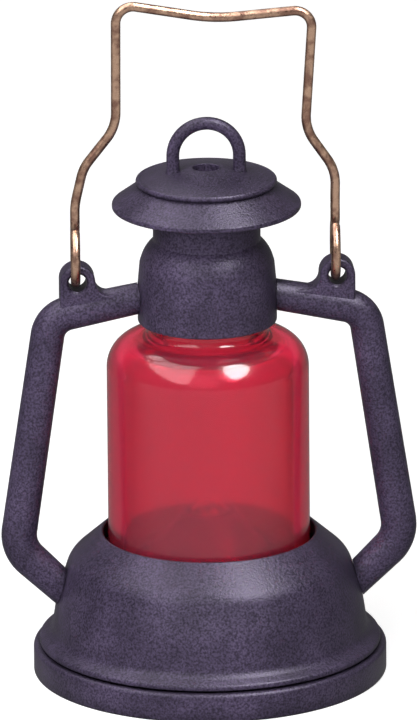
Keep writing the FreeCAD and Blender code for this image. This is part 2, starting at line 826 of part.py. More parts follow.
def make_bulb_glass():
    """Thin glass envelope with a domed end, seated in the cap."""
    stem = bulb_cap_radius - bulb_glass_wall - seat_gap
    foot = glass_bottom - bulb_cap_height / 2
    top = glass_bottom + bulb_glass_height
    outside = [
        corner(stem, foot),
        corner(stem, glass_bottom + seat_gap, bulb_glass_wall),
        corner(bulb_glass_radius, glass_bottom + 2 * bulb_glass_wall, bulb_glass_wall),
        corner(bulb_glass_radius, top, bulb_glass_radius * bulb_dome_share),
        corner(0, top),
    ]
    inside = [
        corner(0, top - bulb_glass_wall),
        corner(bulb_glass_radius - bulb_glass_wall, top - bulb_glass_wall,
               bulb_glass_radius * bulb_hollow_share),
        corner(bulb_glass_radius - bulb_glass_wall, glass_bottom + 2 * bulb_glass_wall),
        corner(stem - bulb_glass_wall, glass_bottom + bulb_glass_wall),
        corner(stem - bulb_glass_wall, foot),
    ]
    return turned(outside + inside)


def make_bulb_filament():
    """Two support posts on a bead in the cap, with the filament arched between them."""
    stem = bulb_cap_radius - bulb_glass_wall - seat_gap - bulb_glass_wall
    bead_bottom = bulb_cap_bottom + bulb_glass_wall
    bead_top = glass_bottom - bulb_cap_height / 2
    top = glass_bottom + filament_height
    bead = drum(stem, bead_bottom, bead_top)
    posts = []
    for side in (-1, 1):
        posts.append(rod(FreeCAD.Vector(side * filament_post_spread / 2, 0, bead_top - bulb_glass_wall),
                         FreeCAD.Vector(side * filament_post_spread, 0, top),
                         filament_post_radius, filament_post_radius))
    arch = Part.Arc(FreeCAD.Vector(-filament_post_spread, 0, top - filament_post_radius),
                    FreeCAD.Vector(0, 0, top + filament_post_spread / 2),
                    FreeCAD.Vector(filament_post_spread, 0, top - filament_post_radius))
    return bead.fuse(posts + [swept([arch.toShape()], filament_wire_radius)]).removeSplitter()


def make_return_strip():
    """Strip from the socket's flange, through the deck, down the tube and out to the switch pad."""
    start = socket_flange_radius - strip_width / 2
    wall = tube_radius + tube_wall + seat_gap + running_gap / 2
    top = deck_top + socket_wall + strip_thickness
    piece = strip([
        corner(wall + strip_foot_length, pad_height),
        corner(wall, pad_height, strip_bend),
        corner(wall, top - strip_thickness, strip_bend),
        corner(start, top - strip_thickness),
    ][::-1], strip_thickness, strip_width)
    return turn_about_axis(piece, -90)


def make_contact_leaf():
    """Sprung leaf on the cover: a hump under the cells, a riveted flat and a wiper for the pad."""
    crest = cell_bottom - contact_gap - strip_thickness
    wiper = pad_height - strip_thickness - contact_gap
    reach = tube_radius + tube_wall + strip_foot_length
    flat_start = leaf_rivet_reach - leaf_rivet_head_radius - strip_thickness
    flat_end = leaf_rivet_reach + leaf_rivet_head_radius + strip_thickness
    leaf = strip([
        corner(-leaf_width / 2, crest),
        corner(leaf_width / 2, crest, strip_bend),
        corner(flat_start, floor_top, strip_bend),
        corner(flat_end, floor_top, strip_bend),
        corner(reach - leaf_width / 2, wiper, strip_bend),
        corner(reach, wiper),
    ], strip_thickness, leaf_width)
    hole = drum(leaf_rivet_radius + seat_gap, 0, floor_top + cut_over)
    hole.translate(FreeCAD.Vector(leaf_rivet_reach, 0, 0))
    return turn_about_axis(leaf.cut(hole), -90 - switch_turn)


def make_leaf_rivet():
    """Rivet that holds the leaf on the cover's floor."""
    low = cover_recess
    high = floor_top + strip_thickness
    rivet = turned([
        corner(0, low - leaf_rivet_head),
        corner(leaf_rivet_head_radius, low - leaf_rivet_head, leaf_rivet_head / 2),
        corner(leaf_rivet_head_radius, low),
        corner(leaf_rivet_radius, low),
        corner(leaf_rivet_radius, high),
        corner(leaf_rivet_head_radius, high),
        corner(leaf_rivet_head_radius, high + leaf_rivet_head, leaf_rivet_head / 2),
        corner(0, high + leaf_rivet_head),
    ])
    rivet.translate(FreeCAD.Vector(leaf_rivet_reach, 0, 0))
    return turn_about_axis(rivet, -90 - switch_turn)


def make_deck_screws():
    """Equal screws that clamp the tube's flange and the deck to the base's bosses."""
    screw = turned([
        corner(0, flange_bottom - screw_head_height),
        corner(screw_head_radius, flange_bottom - screw_head_height, screw_head_height / 3),
        corner(screw_head_radius, flange_bottom),
        corner(screw_radius, flange_bottom),
        corner(screw_radius, deck_top + screw_bite),
        corner(0, deck_top + screw_bite),
    ])
    screw.translate(FreeCAD.Vector(screw_circle, 0, 0))
    return Part.makeCompound([turn_about_axis(screw, angle) for angle in screw_places()])


right_side_arm = make_right_side_arm()

nodes = {
    "base_cover": make_base_cover(),
    "base_shell": make_base_shell(),
    "left_side_arm": to_left(right_side_arm),
    "right_side_arm": right_side_arm,
    "globe": make_globe(),
    "chimney_bell": make_chimney_bell(),
    "chimney_cap": make_chimney_cap(),
    "bail": make_bail(),
    "burner_deck": make_burner_deck(),
    "burner_cone": make_burner_cone(),
    "battery_tube": make_battery_tube(),
    "lower_cell": make_cell(cell_bottom),
    "upper_cell": make_cell(cell_bottom + cell_height),
    "centre_contact": make_centre_contact(),
    "lamp_socket": make_lamp_socket(),
    "bulb_tip": make_bulb_tip(),
    "bulb_insulator": make_bulb_insulator(),
    "bulb_cap": make_bulb_cap(),
    "bulb_glass": make_bulb_glass(),
    "bulb_filament": make_bulb_filament(),
    "return_strip": make_return_strip(),
    "contact_leaf": make_contact_leaf(),
    "leaf_rivet": make_leaf_rivet(),
    "deck_screws": make_deck_screws(),
}

os.makedirs("parts", exist_ok=True)
for name, shape in nodes.items():
    shape.exportStep("parts/" + name + ".step")
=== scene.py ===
"""Miniature red-globe lantern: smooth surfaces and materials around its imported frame.

Lengths are in metres, +Z is up and the front faces -Y. Each new surface is a grid of points from the formula
in its docstring, and rides on the body of the piece that it stands for.
"""

import math

import bmesh
import bpy
import numpy as np
from bpy.props import FloatProperty, FloatVectorProperty, IntProperty, PointerProperty
from bpy.types import Operator, Panel, PropertyGroup
from mathutils import Matrix, Vector


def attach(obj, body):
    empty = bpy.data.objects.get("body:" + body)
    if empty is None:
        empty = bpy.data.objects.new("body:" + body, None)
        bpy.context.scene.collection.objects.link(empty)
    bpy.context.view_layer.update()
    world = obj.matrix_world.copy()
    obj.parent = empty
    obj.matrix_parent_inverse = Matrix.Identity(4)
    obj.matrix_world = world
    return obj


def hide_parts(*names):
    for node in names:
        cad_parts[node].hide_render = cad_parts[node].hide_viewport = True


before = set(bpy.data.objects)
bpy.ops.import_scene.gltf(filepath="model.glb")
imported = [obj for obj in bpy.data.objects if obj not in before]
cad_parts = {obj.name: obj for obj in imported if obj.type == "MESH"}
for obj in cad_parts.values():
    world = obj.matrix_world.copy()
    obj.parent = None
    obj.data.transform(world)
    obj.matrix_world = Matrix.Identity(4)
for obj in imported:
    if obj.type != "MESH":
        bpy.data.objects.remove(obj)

bl_info = {
    "name": "Miniature Lantern",
    "version": (1, 0, 0),
    "blender": (4, 5, 0),
    "location": "View3D > Sidebar > Lantern",
    "description": "Builds the surfaces, materials and studio of a miniature lantern",
    "category": "Object",
}

MM = 0.001
PHOTO_WIDTH = 418
PHOTO_HEIGHT = 720
SENSOR_HEIGHT = 36.0
FLOOR_HALF = 6.0
LIGHT_DISTANCE = 0.7
LIGHT_AIM = Vector((0, 0, 45 * MM))
SAME_POINT = 1e-8
TINY = 1e-12
SHARP_ANGLE = math.radians(32)
CLEAR_INDEX = 1.45
GLOSS_BELOW = 0.08
GLOSS_ABOVE = 0.1


def size(name, description, millimetres):
    """A length property, given in millimetres and kept in metres."""
    return FloatProperty(name=name, description=description, default=millimetres * MM, unit="LENGTH",
                         precision=5)


def turn(name, description, degrees):
    """An angle property, given in degrees and kept in radians."""
    return FloatProperty(name=name, description=description, default=math.radians(degrees), subtype="ANGLE")


def number(name, description, value):
    """A property that is a plain number."""
    return FloatProperty(name=name, description=description, default=value)


def factor(name, description, value):
    """A property that runs from nothing to all."""
    return FloatProperty(name=name, description=description, default=value, subtype="FACTOR",
                         min=0.0, max=1.0)


def colour(name, description, red, green, blue):
    """A linear colour property."""
    return FloatVectorProperty(name=name, description=description, default=(red, green, blue),
                               subtype="COLOR", min=0.0, max=1.0)


class LanternBase(PropertyGroup):
    """Sizes of the foot cover and the base shell."""

    cover_radius: size("Cover radius", "Radius of the foot cover", 24.0)
    cover_height: size("Cover height", "Top of the cover's outer band", 3.95)
    cover_rounding: size("Cover rounding", "Rounding of the band's upper edge", 0.6)
    cover_band: size("Cover band", "Thickness of the cover's outer band", 1.6)
    cover_recess: size("Cover recess", "Hollow under the cover's floor", 0.9)
    floor_top: size("Floor top", "Top of the cover's floor", 2.3)
    foot_rim: size("Foot rim", "Width of the rim that the lantern stands on", 2.4)
    foot_rounding: size("Foot rounding", "Rounding of the foot's outer edge and of its recess", 0.3)
    broken_edge: size("Broken edge", "Rounding of the cover's inner edges", 0.1)
    ring_radius: size("Ring radius", "Radius of the ring that turns inside the base", 19.3)
    ring_wall: size("Ring wall", "Thickness of that ring", 1.3)
    ring_top: size("Ring top", "Top of that ring", 7.3)
    shell_bottom: size("Shell bottom", "Underside of the base's flange", 4.2)
    shell_wall: size("Shell wall", "Thickness of the base shell", 1.6)
    flange_radius: size("Flange radius", "Radius of the flange above the seam", 23.2)
    flange_thickness: size("Flange thickness", "Height of the flange's edge", 0.65)
    flange_rounding: size("Flange rounding", "Rounding of the flange's upper edge", 0.5)
    flange_under: size("Flange under", "Rounding of the flange's lower edge", 0.15)
    wall_foot_radius: size("Wall foot radius", "Radius where the wall leaves the flange", 21.5)
    wall_foot_height: size("Wall foot height", "Height where the wall leaves the flange", 5.75)
    wall_foot_rounding: size("Wall foot rounding", "Hollow between flange and wall", 1.6)
    waist_radius: size("Waist radius", "Radius of the wall's waist", 20.78)
    waist_height: size("Waist height", "Height of the wall's waist", 10.6)
    waist_rounding: size("Waist rounding", "Rounding of the wall at its waist", 20.0)
    shoulder_radius: size("Shoulder radius", "Radius of the shoulder's corner", 19.05)
    shoulder_height: size("Shoulder height", "Height of the shoulder's corner", 15.95)
    shoulder_rounding: size("Shoulder rounding", "Rounding of the shoulder, outside", 4.0)
    shoulder_inside: size("Shoulder inside", "Rounding of the shoulder, inside", 2.4)
    shoulder_drop: size("Shoulder drop", "How much lower the shoulder's corner is inside", 0.64)
    opening_radius: size("Opening radius", "Radius of the globe's opening", 14.4)
    opening_rounding: size("Opening rounding", "Rounding of the opening's edge", 0.25)
    base_height: size("Base height", "Height of the opening's edge", 20.0)
    skirt_radius: size("Skirt radius", "Inside of the base's skirt", 19.6)


class LanternGlobe(PropertyGroup):
    """Sizes of the globe."""

    radius: size("Radius", "Outside radius of the globe", 13.7)
    wall: size("Wall", "Thickness of its wall", 2.2)
    foot: size("Foot", "Height of its lower edge", 15.5)
    edge_rounding: size("Edge rounding", "Rounding of its foot and of its neck's edge", 0.4)
    bore_rounding: size("Bore rounding", "Rounding of the bore's edge at its foot", 0.3)
    top: size("Top", "Height of its shoulder", 47.4)
    shoulder: size("Shoulder", "Rounding of its shoulder", 4.4)
    neck_radius: size("Neck radius", "Outside radius of its neck", 7.9)
    neck_wall: size("Neck wall", "Thickness of the neck", 1.6)
    neck_fillet: size("Neck fillet", "Hollow between shoulder and neck", 1.35)
    neck_top: size("Neck top", "Height of the neck's edge", 50.5)


class LanternChimney(PropertyGroup):
    """Sizes of the bell, the cap and its loop."""

    bell_radius: size("Bell radius", "Radius of the bell's drum", 9.42)
    bell_wall: size("Bell wall", "Thickness of the drum", 2.2)
    bell_bottom: size("Bell bottom", "Lower edge of the bell", 49.5)
    bell_edge: size("Bell edge", "Rounding of the bell's lower edge and of its crease", 0.25)
    drum_top: size("Drum top", "Height where the drum starts to draw in", 54.5)
    drum_rounding: size("Drum rounding", "Rounding of the drum where it draws in", 6.0)
    crease_radius: size("Crease radius", "Radius of the crease under the dome", 9.12)
    crease_height: size("Crease height", "Height of that crease", 57.8)
    dome_radius: size("Dome radius", "Radius of the dome's corner", 8.5)
    dome_height: size("Dome height", "Height of the dome's corner", 59.75)
    dome_rounding: size("Dome rounding", "Rounding of the dome", 5.0)
    socket_radius: size("Socket radius", "Socket for the globe's neck", 8.2)
    socket_edge: size("Socket edge", "Rounding of the socket's edge", 0.1)
    socket_top: size("Socket top", "Top of that socket", 50.8)
    neck_radius: size("Chimney radius", "Radius of the chimney", 7.27)
    neck_foot: size("Chimney foot", "Height where the chimney leaves the dome", 60.9)
    neck_fillet: size("Chimney fillet", "Hollow between dome and chimney", 0.4)
    neck_top: size("Chimney top", "Top of the chimney", 67.0)
    bore: size("Bore", "Bore of the chimney", 5.87)
    seat: size("Seat", "Underside of the cap on the chimney", 67.05)
    brim_radius: size("Brim radius", "Radius of the cap's brim", 12.78)
    brim_height: size("Brim height", "Height of the brim's edge", 66.05)
    brim_edge: size("Brim edge", "Thickness of the brim's edge", 0.65)
    brim_rounding: size("Brim rounding", "Rounding of the brim's upper edge", 0.39)
    brim_under: size("Brim under", "Rounding of the brim's lower edge", 0.26)
    crown_radius: size("Crown radius", "Radius of the crown", 9.1)
    crown_foot: size("Crown foot", "Height of the crown's foot", 68.7)
    crown_edge: size("Crown edge", "Height of the crown's edge", 69.55)
    crown_top: size("Crown top", "Height of the vent's edge", 71.0)
    crown_rounding: size("Crown rounding", "Rounding of the crown's edge and foot", 0.35)
    crown_wall: size("Crown wall", "Thickness of the crown", 1.15)
    bead_radius: size("Bead radius", "Radius of the bead at the crown's foot", 0.45)
    vent_radius: size("Vent radius", "Radius of the vent hole", 1.8)
    vent_rounding: size("Vent rounding", "Rounding of the vent's edge", 0.15)
    spigot_radius: size("Spigot radius", "Spigot of the cap in the chimney", 5.82)
    spigot_wall: size("Spigot wall", "Thickness of that spigot", 1.1)
    spigot_length: size("Spigot length", "Length of that spigot", 3.5)
    loop_radius: size("Loop radius", "Radius of the carrying loop", 4.5)
    loop_bar: size("Loop bar", "Diameter of the loop's bar", 1.75)
    loop_root: size("Loop root", "Height of the loop's feet", 70.46)
    loop_leg: size("Loop leg", "Straight height of the loop's legs", 2.2)
    loop_foot: size("Loop foot", "Radius of the loop's flared feet", 1.25)
    loop_flare: size("Loop flare", "Height of the flare over the loop's feet", 0.9)


class LanternBail(PropertyGroup):
    """Sizes of the wire bail. Heights are above its hinge line."""

    wire: size("Wire", "Diameter of the wire", 1.3)
    hinge_z: size("Hinge Z", "Height of the hinge line", 59.01)
    leg_x: size("Leg X", "Half distance between the legs", 17.6)
    shift: size("Shift", "How far the bail hangs to the left in its ears", 0.2)
    hook_radius: size("Hook radius", "Radius of the hooks", 3.6)
    hook_neck: size("Hook neck", "Radius of the bend from leg to hook", 2.0)
    hook_twist: turn("Hook twist", "Turn of the hooks about their legs", 3.0)
    hook_end: turn("Hook end", "Angle of the hook's free end", 108.0)
    leg_height: size("Leg height", "Height of the legs", 7.2)
    leg_bend: size("Leg bend", "Radius of the bend above the legs", 10.0)
    knee_x: size("Knee X", "Half width at the knees", 17.05)
    knee_height: size("Knee height", "Height of the knees", 11.7)
    knee_bend: size("Knee bend", "Radius of the knee and neck bends", 6.0)
    neck_x: size("Neck X", "Half width at the neck", 12.8)
    neck_height: size("Neck height", "Height of the neck", 17.5)
    top_x: size("Top X", "Half width at the top", 13.3)
    top_height: size("Top height", "Height of the top corners", 34.5)
    top_bend: size("Top bend", "Radius of the top corners", 2.3)
    middle_height: size("Middle height", "Height of the dip in the hand bar", 32.8)
    middle_bend: size("Middle bend", "Radius of that dip", 25.0)
    lean: turn("Lean", "How far the bail is set over to the right", 2.1)
    bar_tilt: turn("Bar tilt", "How much more the hand bar falls to the right", 1.0)


class LanternLook(PropertyGroup):
    """Colours and finish."""

    plastic_dark: colour("Plastic dark", "Darker tone of the black plastic", 0.040, 0.030, 0.057)
    plastic_light: colour("Plastic light", "Lighter tone of the black plastic", 0.076, 0.057, 0.107)
    plastic_roughness: factor("Plastic roughness", "Roughness of the black plastic", 0.38)
    # Painted shade: reach of the darkening that ambient occlusion paints into the plastic's creases and
    # recesses.
    painted_shade_reach: size("Crease reach", "How far from a crease the plastic darkens", 2.0)
    # Painted shade: the inner pieces take a darker copy of the black plastic, standing in for the shade
    # inside the globe.
    inner_painted_shade: factor("Inner shade", "Tone of the inner black pieces to the outer ones", 0.4)
    red: colour("Red", "Colour of the globe", 0.90, 0.13, 0.25)
    red_depth: colour("Red depth", "Colour that light takes on within the globe's wall", 0.90, 0.10, 0.30)
    red_density: number("Red density", "How strongly a metre of the globe's wall colours light", 250.0)
    brass_light: colour("Brass light", "Bright tone of the wire", 0.50, 0.32, 0.225)
    brass_dark: colour("Brass dark", "Tarnished tone of the wire", 0.24, 0.13, 0.095)


class LanternStudio(PropertyGroup):
    """Camera and light."""

    distance: size("Distance", "Camera distance", 2000.0)
    elevation: turn("Elevation", "Camera height angle", 17.38)
    azimuth: turn("Azimuth", "Camera side angle", -4.03)
    roll: turn("Roll", "Camera roll", -0.47)
    target_z: size("Target height", "Height of the point that the camera looks at", 44.84)
    pixels_per_metre: number("Scale", "Image pixels for a metre at the target", 7390.0)
    target_column: number("Target column", "Image column of the target", 207.68)
    target_row: number("Target row", "Image row of the target", 352.32)
    fill: number("Fill", "Light of the surroundings on the surfaces", 0.04)
    sky_shine: number("Sky shine", "Surroundings in reflections", 0.12)
    floor_shine: number("Floor shine", "Floor before the object in reflections", 0.8)
    back_shine: number("Back shine", "Floor behind the object in reflections", 0.22)
    fade_front: size("Fade front", "Where along Y the floor's shine starts to fade", -50.0)
    fade_back: size("Fade back", "Where along Y the floor's shine has faded", 10.0)
    floor_through: number("Floor through", "Floor seen through the clear plastic", 0.5)
    floor_white: number("Floor white", "White that the floor shows by itself", 0.84)
    segments: IntProperty(name="Segments", description="Points round each turned piece", default=160, min=16)


def unit(vectors):
    """Rows of an array scaled to length one."""
    return vectors / np.maximum(np.linalg.norm(vectors, axis=-1, keepdims=True), TINY)


def rounded(corners, closed=False, steps=9):
    """Outline whose corners (x, y, r) are replaced by tangent arcs.

    With unit vectors u and v from a corner along its two runs and half their angle h, the arc's centre is
    corner + unit(u + v) r / sin h, and the arc runs from r / tan h along u to r / tan h along v.
    """
    rows = np.array(corners, float)
    points, radius = rows[:, :2], rows[:, 2].copy()
    if not closed:
        radius[[0, -1]] = 0.0
    u = unit(np.roll(points, 1, 0) - points)
    v = unit(np.roll(points, -1, 0) - points)
    half = np.arccos(np.clip((u * v).sum(1), -1.0, 1.0)) / 2
    centre = points + unit(u + v) * (radius / np.sin(half))[:, None]
    start = points + u * (radius / np.tan(half))[:, None] - centre
    sweep = (np.pi - 2 * half) * np.where(u[:, 0] * v[:, 1] - u[:, 1] * v[:, 0] > 0, -1.0, 1.0)
    angle = np.arctan2(start[:, 1], start[:, 0])[:, None] + sweep[:, None] * np.linspace(0, 1, steps)
    arcs = centre[:, None] + radius[:, None, None] * np.stack([np.cos(angle), np.sin(angle)], -1)
    line = np.where(radius[:, None, None] > 0, arcs, points[:, None]).reshape(-1, 2)
    return line[np.linalg.norm(line - np.roll(line, 1, 0), axis=1) > SAME_POINT]


def revolved(outline, segments):
    """Surface of revolution: (r cos t, r sin t, z) for the outline's (r, z) and t from 0 to 2 pi."""
    t = np.linspace(0, 2 * np.pi, segments, endpoint=False)
    r, z = outline[:, :1], outline[:, 1:]
    return np.stack([r * np.cos(t), r * np.sin(t), z + 0 * t], -1)


def tube(path, radius, normal, around=28):
    """Tube: p + r (n cos t + b sin t), with n the given normal made square to the path and b across both."""
    step = unit(np.diff(path, axis=0))
    along = unit(np.vstack([step[:1], step[:-1] + step[1:], step[-1:]]))
    n = unit(normal - along * (normal * along).sum(1, keepdims=True))
    b = np.cross(along, n)
    t = np.linspace(0, 2 * np.pi, around, endpoint=False)[:, None]
    ring = n[:, None] * np.cos(t) + b[:, None] * np.sin(t)
    return path[:, None] + np.broadcast_to(radius, len(path))[:, None, None] * ring


def closed_ends(surface, path, shares):
    """Tube closed by rings p + k (s - p) at both ends of its path, for shares k that start at nothing."""
    first, last = path[:1, None], path[-1:, None]
    start = [first + (surface[:1] - first) * k for k in shares]
    end = [last + (surface[-1:] - last) * k for k in reversed(shares)]
    return np.concatenate(start + [surface] + end)


def in_front_plane(line):
    """Points (x, z) as points in the XZ plane."""
    return np.stack([line[:, 0], 0 * line[:, 0], line[:, 1]], -1)


def grid_quads(points, wrap_rows, offset):
    """Quads over a grid of points that is closed round its columns, counted from an offset."""
    index = np.arange(points.shape[0] * points.shape[1]).reshape(points.shape[:2]) + offset
    if wrap_rows:
        index = np.vstack([index, index[:1]])
    index = np.hstack([index, index[:, :1]])
    return np.stack([index[:-1, :-1], index[:-1, 1:], index[1:, 1:], index[1:, :-1]], -1).reshape(-1, 4)


def add_piece(name, grids, body, node, material):
    """One object from grids of points (points, closed over rows), each closed round its columns."""
    quads = []
    count = 0
    for points, wrap in grids:
        quads.append(grid_quads(points, wrap, count))
        count += points.shape[0] * points.shape[1]
    corners = np.vstack([points.reshape(-1, 3) for points, _ in grids])
    faces = np.vstack(quads)
    mesh = bpy.data.meshes.new(name)
    mesh.vertices.add(len(corners))
    mesh.vertices.foreach_set("co", corners.astype(np.float32).ravel())
    mesh.loops.add(faces.size)
    mesh.loops.foreach_set("vertex_index", faces.astype(np.int32).ravel())
    mesh.polygons.add(len(faces))
    mesh.polygons.foreach_set("loop_start", np.arange(0, faces.size, 4, dtype=np.int32))
    mesh.update(calc_edges=True)
    clean = bmesh.new()
    clean.from_mesh(mesh)
    bmesh.ops.remove_doubles(clean, verts=clean.verts, dist=SAME_POINT)
    bmesh.ops.recalc_face_normals(clean, faces=clean.faces)
    clean.to_mesh(mesh)
    clean.free()
    mesh.polygons.foreach_set("use_smooth", np.ones(len(mesh.polygons), bool))
    mesh.set_sharp_from_angle(angle=SHARP_ANGLE)
    mesh.materials.append(material)
    piece = bpy.data.objects.new(name, mesh)
    bpy.context.scene.collection.objects.link(piece)
    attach(piece, body)
    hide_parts(node)


def start_material(name):
    """A new node material with its tree and its Principled shader."""
    material = bpy.data.materials.new(name)
    material.use_nodes = True
    tree = material.node_tree
    return material, tree, tree.nodes["Principled BSDF"]


def add_noise(tree, scale, detail, stretch=(1.0, 1.0, 1.0)):
    """Noise over Object coordinates; scale counts features in a metre."""
    place = tree.nodes.new("ShaderNodeTexCoord")
    mapping = tree.nodes.new("ShaderNodeMapping")
    mapping.inputs["Scale"].default_value = stretch
    noise = tree.nodes.new("ShaderNodeTexNoise")
    noise.inputs["Scale"].default_value = scale
    noise.inputs["Detail"].default_value = detail
    tree.links.new(place.outputs["Object"], mapping.inputs["Vector"])
    tree.links.new(mapping.outputs["Vector"], noise.inputs["Vector"])
    return noise


def add_ramp(tree, source, stops):
    """Colour ramp over a value, between two stops (position, colour)."""
    ramp = tree.nodes.new("ShaderNodeValToRGB")
    for element, (position, tint) in zip(ramp.color_ramp.elements, stops):
        element.position = position
        element.color = (*tint, 1.0)
    tree.links.new(source, ramp.inputs["Fac"])
    return ramp


def add_range(tree, source, low, high, start=0.3, end=0.7):
    """A value mapped from start..end to low..high."""
    mapped = tree.nodes.new("ShaderNodeMapRange")
    mapped.inputs["From Min"].default_value = start
    mapped.inputs["From Max"].default_value = end
    mapped.inputs["To Min"].default_value = low
    mapped.inputs["To Max"].default_value = high
    tree.links.new(source, mapped.inputs["Value"])
    return mapped


def add_sum(tree, first, second, weight):
    """Output that is the first value plus the second times a weight."""
    node = tree.nodes.new("ShaderNodeMath")
    node.operation = "MULTIPLY_ADD"
    node.inputs[1].default_value = weight
    tree.links.new(second, node.inputs[0])
    tree.links.new(first, node.inputs[2])
    return node.outputs["Value"]


def add_bump(tree, shader, source, strength, distance):
    """Fine relief on a shader's normal."""
    bump = tree.nodes.new("ShaderNodeBump")
    bump.inputs["Strength"].default_value = strength
    bump.inputs["Distance"].default_value = distance
    tree.links.new(source, bump.inputs["Height"])
    tree.links.new(bump.outputs["Normal"], shader.inputs["Normal"])


def moulded_plastic(name, look, painted_shade_factor=1.0):
    """Satin black plastic: two cloudy tones, fine specks, painted shade in its creases, uneven gloss and a
    pebbled skin.
    """
    material, tree, shader = start_material(name)
    clouds = add_noise(tree, scale=160.0, detail=4.0).outputs["Fac"]
    specks = add_noise(tree, scale=3400.0, detail=2.0).outputs["Fac"]
    # Painted shade: a factor below one gives a darker, shaded copy of this plastic.
    dark_tone = tuple(np.array(look.plastic_dark) * painted_shade_factor)
    light_tone = tuple(np.array(look.plastic_light) * painted_shade_factor)
    tones = add_ramp(tree, clouds, [(0.3, dark_tone), (0.7, light_tone)])
    dark = add_range(tree, specks, low=0.4, high=1.3, start=0.34, end=0.64)
    mix = tree.nodes.new("ShaderNodeMix")
    mix.data_type = "RGBA"
    mix.blend_type = "MULTIPLY"
    mix.inputs["Factor"].default_value = 1.0
    tree.links.new(tones.outputs["Color"], mix.inputs["A"])
    tree.links.new(dark.outputs["Result"], mix.inputs["B"])
    # Painted shade: the ambient occlusion node darkens the base colour in creases, recesses and between
    # pieces.
    painted_crease_shade = tree.nodes.new("ShaderNodeAmbientOcclusion")
    painted_crease_shade.inputs["Distance"].default_value = look.painted_shade_reach
    tree.links.new(mix.outputs["Result"], painted_crease_shade.inputs["Color"])
    tree.links.new(painted_crease_shade.outputs["Color"], shader.inputs["Base Color"])
    shader.inputs["Specular IOR Level"].default_value = 0.23
    shader.inputs["Specular Tint"].default_value = (0.86, 0.80, 1.0, 1.0)
    roughness = look.plastic_roughness
    gloss = add_range(tree, specks, low=roughness - GLOSS_BELOW, high=roughness + GLOSS_ABOVE)
    tree.links.new(gloss.outputs["Result"], shader.inputs["Roughness"])
    add_bump(tree, shader, specks, strength=0.55, distance=0.1 * MM)
    return material


def red_clear(name, look):
    """Clear red plastic: tinted transmission with faint flow waves from moulding."""
    material, tree, shader = start_material(name)
    flow = add_noise(tree, scale=90.0, detail=2.0, stretch=(1.0, 1.0, 0.35)).outputs["Fac"]
    red = np.array(look.red)
    darker = tuple(red * 0.94)
    lighter = tuple(np.minimum(red * 1.06, 1.0))
    tint = add_ramp(tree, flow, [(0.3, darker), (0.7, lighter)])
    tree.links.new(tint.outputs["Color"], shader.inputs["Base Color"])
    shader.inputs["Transmission Weight"].default_value = 0.89
    shader.inputs["IOR"].default_value = CLEAR_INDEX
    smooth = add_range(tree, flow, low=0.12, high=0.16)
    tree.links.new(smooth.outputs["Result"], shader.inputs["Roughness"])
    add_bump(tree, shader, flow, strength=0.05, distance=0.2 * MM)
    depth = tree.nodes.new("ShaderNodeVolumeAbsorption")
    depth.inputs["Color"].default_value = (*look.red_depth, 1.0)
    depth.inputs["Density"].default_value = look.red_density
    tree.links.new(depth.outputs["Volume"], tree.nodes["Material Output"].inputs["Volume"])
    return material


def worn_brass(name, look):
    """Brass wire: bright metal with brown tarnish in blotches and fine drawing marks."""
    material, tree, shader = start_material(name)
    blotches = add_noise(tree, scale=700.0, detail=5.0).outputs["Fac"]
    marks = add_noise(tree, scale=2600.0, detail=2.0).outputs["Fac"]
    tones = add_ramp(tree, blotches, [(0.38, look.brass_dark), (0.58, look.brass_light)])
    tree.links.new(tones.outputs["Color"], shader.inputs["Base Color"])
    shader.inputs["Metallic"].default_value = 0.9
    gloss = add_range(tree, marks, low=0.24, high=0.42)
    tree.links.new(gloss.outputs["Result"], shader.inputs["Roughness"])
    add_bump(tree, shader, marks, strength=0.2, distance=0.04 * MM)
    return material


def sheet_metal(name, light, dark, roughness):
    """Plated or bare sheet metal with cloudy tone and fine scratches."""
    material, tree, shader = start_material(name)
    clouds = add_noise(tree, scale=500.0, detail=4.0).outputs["Fac"]
    scratches = add_noise(tree, scale=1800.0, detail=3.0, stretch=(1.0, 1.0, 6.0)).outputs["Fac"]
    tones = add_ramp(tree, clouds, [(0.3, dark), (0.7, light)])
    tree.links.new(tones.outputs["Color"], shader.inputs["Base Color"])
    shader.inputs["Metallic"].default_value = 1.0
    gloss = add_range(tree, scratches, low=roughness - GLOSS_BELOW, high=roughness + GLOSS_ABOVE)
    tree.links.new(gloss.outputs["Result"], shader.inputs["Roughness"])
    add_bump(tree, shader, scratches, strength=0.1, distance=0.03 * MM)
    return material


def lamp_glass(name):
    """Thin clear lamp glass with a grey tint that darkens the bulb, and slight waves."""
    material, tree, shader = start_material(name)
    waves = add_noise(tree, scale=300.0, detail=1.0).outputs["Fac"]
    shader.inputs["Base Color"].default_value = (0.55, 0.54, 0.52, 1.0)
    shader.inputs["Transmission Weight"].default_value = 1.0
    shader.inputs["IOR"].default_value = CLEAR_INDEX
    shader.inputs["Roughness"].default_value = 0.01
    add_bump(tree, shader, waves, strength=0.05, distance=0.1 * MM)
    return material


def base_cover_outline(b):
    """Dish with a standing rim, from the axis under its floor round its band and ring back to the axis."""
    inner = b.cover_radius - b.foot_rim
    band = b.cover_radius - b.cover_band
    ring_bore = b.ring_radius - b.ring_wall
    return rounded([
        (0, b.cover_recess, 0), (inner, b.cover_recess, b.foot_rounding), (inner, 0, b.broken_edge),
        (b.cover_radius, 0, b.foot_rounding), (b.cover_radius, b.cover_height, b.cover_rounding),
        (band, b.cover_height, b.broken_edge), (band, b.floor_top, 0), (b.ring_radius, b.floor_top, 0),
        (b.ring_radius, b.ring_top, 0), (ring_bore, b.ring_top, 0), (ring_bore, b.floor_top, 0),
        (0, b.floor_top, 0),
    ])


